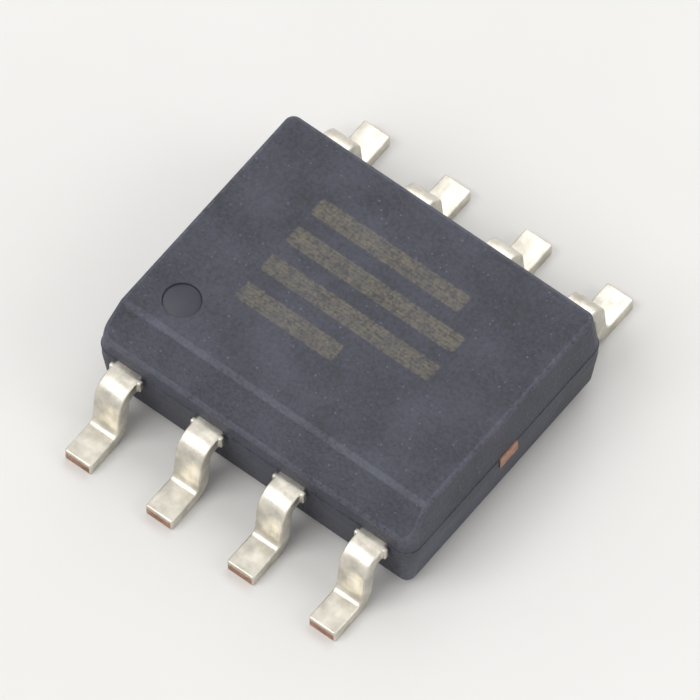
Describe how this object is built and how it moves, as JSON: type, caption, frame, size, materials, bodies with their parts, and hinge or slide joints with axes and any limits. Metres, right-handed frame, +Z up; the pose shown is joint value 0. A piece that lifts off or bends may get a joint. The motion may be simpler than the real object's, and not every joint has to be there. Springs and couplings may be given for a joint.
{
  "type": "soic chip",
  "caption": "Small black moulded chip package with gull-wing leads on two sides, and the lead frame, die and bond wires inside it.",
  "frame": {"origin": "centre of the footprint on the seating plane, which the soles of the feet rest on", "axes": "+X along the rows of leads from lead 1 towards lead 4, +Y across the rows from leads 1 to 4 towards leads 5 to 8, +Z up through the body"},
  "size_m": [0.005, 0.006, 0.0016],
  "materials": {
    "moulded_epoxy": "matte",
    "matte_tin": "satin",
    "copper_alloy": "satin",
    "silver_epoxy": "matte",
    "silicon": "gloss",
    "gold_wire": "polished"
  },
  "bodies": {
    "root": {"mould_body": "moulded_epoxy", "lead_1": "matte_tin", "lead_2": "matte_tin", "lead_3": "matte_tin", "lead_4": "matte_tin", "lead_5": "matte_tin", "lead_6": "matte_tin", "lead_7": "matte_tin", "lead_8": "matte_tin", "die_paddle": "copper_alloy", "die_attach": "silver_epoxy", "silicon_die": "silicon", "bond_wire_1": "gold_wire", "bond_wire_2": "gold_wire", "bond_wire_3": "gold_wire", "bond_wire_4": "gold_wire", "bond_wire_5": "gold_wire", "bond_wire_6": "gold_wire", "bond_wire_7": "gold_wire", "bond_wire_8": "gold_wire"}
  },
  "joints": []
}
